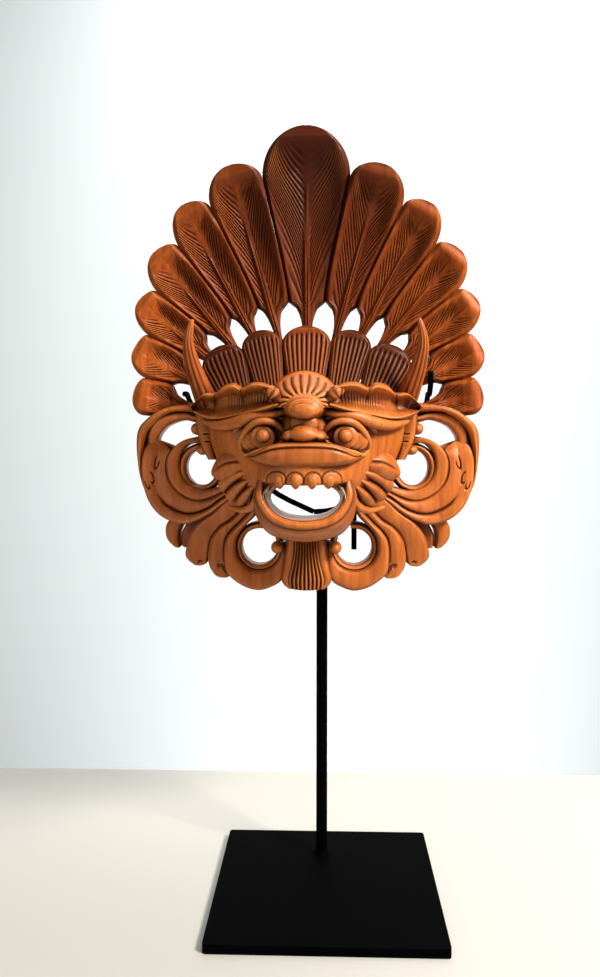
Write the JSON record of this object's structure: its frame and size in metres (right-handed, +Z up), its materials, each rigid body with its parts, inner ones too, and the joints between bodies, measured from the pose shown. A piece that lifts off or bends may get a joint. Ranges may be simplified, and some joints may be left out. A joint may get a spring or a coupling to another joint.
{
  "type": "carved wooden mask on a display stand",
  "caption": "Carved wooden demon-lion mask with a fan of long feathers and pierced scrolls, resting in the wire cradle of a black steel rod stand.",
  "frame": {"origin": "centre of the base plate's underside", "axes": "+Z up, the mask faces -Y, +X to the right when looking at its face"},
  "size_m": [0.2424, 0.15, 0.5109],
  "materials": {
    "carved_wood": "waxed satin, warm orange-brown, darker in the cuts",
    "black_steel": "satin black paint"
  },
  "bodies": {
    "root": {"mask": "carved_wood", "base_plate": "black_steel", "upright": "black_steel", "cradle": "black_steel"}
  },
  "joints": []
}
